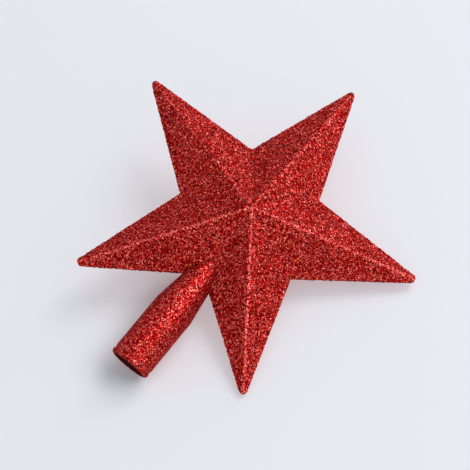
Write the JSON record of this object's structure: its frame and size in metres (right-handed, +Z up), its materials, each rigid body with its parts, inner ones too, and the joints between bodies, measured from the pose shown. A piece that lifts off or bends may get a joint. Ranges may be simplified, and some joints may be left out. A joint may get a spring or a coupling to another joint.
{
  "type": "tree topper star",
  "caption": "Faceted five-armed hollow star with a glitter finish and a slip-on socket tube for the top shoot of a tree.",
  "frame": {"origin": "centre of the socket's mouth", "axes": "+Z up the socket to the star's top tip, +Y from the star's front face to its back face, +X to the right as seen from the front"},
  "size_m": [0.1748, 0.0428, 0.1904],
  "materials": {
    "shell_plastic": "moulded red polystyrene, hidden by the glitter",
    "socket_plastic": "moulded dark red polystyrene, bare in the bore",
    "glue": "clear hot-melt glue",
    "star_glitter": "fine red glitter flakes in lacquer, sparkling",
    "socket_glitter": "fine red glitter flakes in lacquer, sparkling"
  },
  "bodies": {
    "root": {"front_shell": "shell_plastic", "back_shell": "shell_plastic", "socket_tube": "socket_plastic", "seam_glue": "glue", "socket_glue": "glue", "front_glitter": "star_glitter", "back_glitter": "star_glitter", "socket_glitter": "socket_glitter"}
  },
  "joints": []
}
